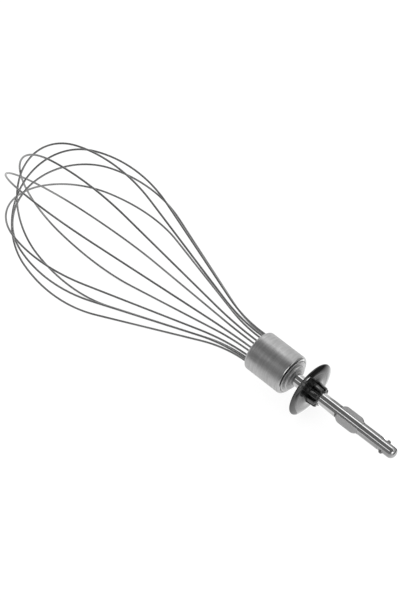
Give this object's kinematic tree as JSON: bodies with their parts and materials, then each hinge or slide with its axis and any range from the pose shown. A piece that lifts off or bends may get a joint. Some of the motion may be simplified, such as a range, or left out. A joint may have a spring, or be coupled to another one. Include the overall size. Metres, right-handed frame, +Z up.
{
  "type": "immersion blender whisk attachment",
  "caption": "Whisk attachment for an immersion blender: bent steel wire loops in a steel ferrule, on a quick-change drive shaft with a splash disc, drive ears and a sprung ball catch",
  "frame": {"origin": "on the floor, under the middle of the whisk as it lies at rest on its disc and its lowest wires", "axes": "+Z up; +X along the whisk from the wire cage to the drive tip; the whisk's own axis lies in the XZ direction, tipped down towards the tip"},
  "size_m": [0.312, 0.0978, 0.096],
  "materials": {
    "wire_steel": "satin drawn wire",
    "ferrule_steel": "brushed round",
    "hub_steel": "turned",
    "shaft_steel": "polished",
    "black_moulding": "gloss",
    "ball_steel": "polished",
    "spring_steel": "drawn wire"
  },
  "bodies": {
    "whisk": {"wire_loop_1": "wire_steel", "wire_loop_2": "wire_steel", "wire_loop_3": "wire_steel", "wire_loop_4": "wire_steel", "wire_loop_5": "wire_steel", "wire_loop_6": "wire_steel", "ferrule": "ferrule_steel", "wire_hub": "hub_steel", "drive_shaft": "shaft_steel", "splash_disc": "black_moulding", "detent_spring": "spring_steel"},
    "ball_1": {"detent_ball_1": "ball_steel"},
    "ball_2": {"detent_ball_2": "ball_steel"}
  },
  "joints": [
    {"name": "detent_ball_1_press", "type": "slide", "parent": "whisk", "child": "ball_1", "axis": [0.0406, 0.9397, 0.3396], "range_m": [0, 0.0012], "stiffness_N_per_m": 4000, "springref_m": -0.0005, "deforming": ["detent_spring"]},
    {"name": "detent_ball_2_press", "type": "slide", "parent": "whisk", "child": "ball_2", "axis": [-0.0406, -0.9397, -0.3396], "range_m": [0, 0.0012], "stiffness_N_per_m": 4000, "springref_m": -0.0005, "deforming": ["detent_spring"]}
  ]
}
